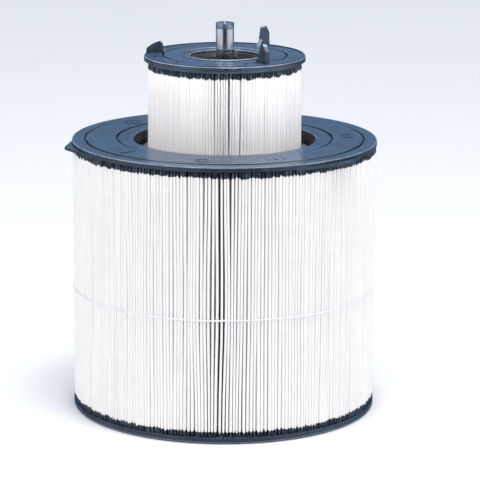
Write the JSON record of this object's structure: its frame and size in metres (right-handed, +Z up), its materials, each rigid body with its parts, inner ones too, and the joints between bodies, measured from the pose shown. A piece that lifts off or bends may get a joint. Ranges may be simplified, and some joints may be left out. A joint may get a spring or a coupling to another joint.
{
  "type": "pleated filter cartridge set",
  "caption": "Two nested pleated pool filter cartridges, a wide outer module around a taller inner one, with a polished bleed tube standing in the core.",
  "frame": {"origin": "on the common axis of both modules and the tube, in the plane the set stands on", "axes": "+Z up the common axis, -Y towards the front, +X to the right seen from the front"},
  "size_m": [0.4335, 0.4317, 0.543],
  "materials": {
    "media": "matte",
    "core_plastic": "satin",
    "band": "matte",
    "cap_plastic": "satin",
    "potting": "satin",
    "gasket": "matte",
    "tube_metal": "polished",
    "strainer_metal": "satin",
    "foot_plastic": "satin"
  },
  "bodies": {
    "outer_module": {"outer_media": "media", "outer_core": "core_plastic", "outer_pleat_band": "band", "outer_top_cap": "cap_plastic", "outer_top_potting": "potting", "outer_bottom_cap": "cap_plastic", "outer_bottom_potting": "potting", "outer_bottom_gasket": "gasket"},
    "inner_module": {"inner_media": "media", "inner_core": "core_plastic", "inner_pleat_band": "band", "inner_top_cap": "cap_plastic", "inner_top_potting": "potting", "inner_bottom_cap": "cap_plastic", "inner_bottom_potting": "potting", "inner_bottom_gasket": "gasket"},
    "bleed_tube_unit": {"bleed_tube": "tube_metal", "tube_sleeve": "tube_metal", "tube_top_cap": "tube_metal", "bleed_strainer": "strainer_metal", "tube_seal_ring": "gasket", "tube_foot": "foot_plastic"}
  },
  "joints": [
    {"name": "inner_lift", "type": "slide", "parent": "outer_module", "child": "inner_module", "axis": [0, 0, 1], "range_m": [0, 0.42]},
    {"name": "tube_lift", "type": "slide", "parent": "inner_module", "child": "bleed_tube_unit", "axis": [0, 0, 1], "range_m": [0, 0.54]}
  ]
}
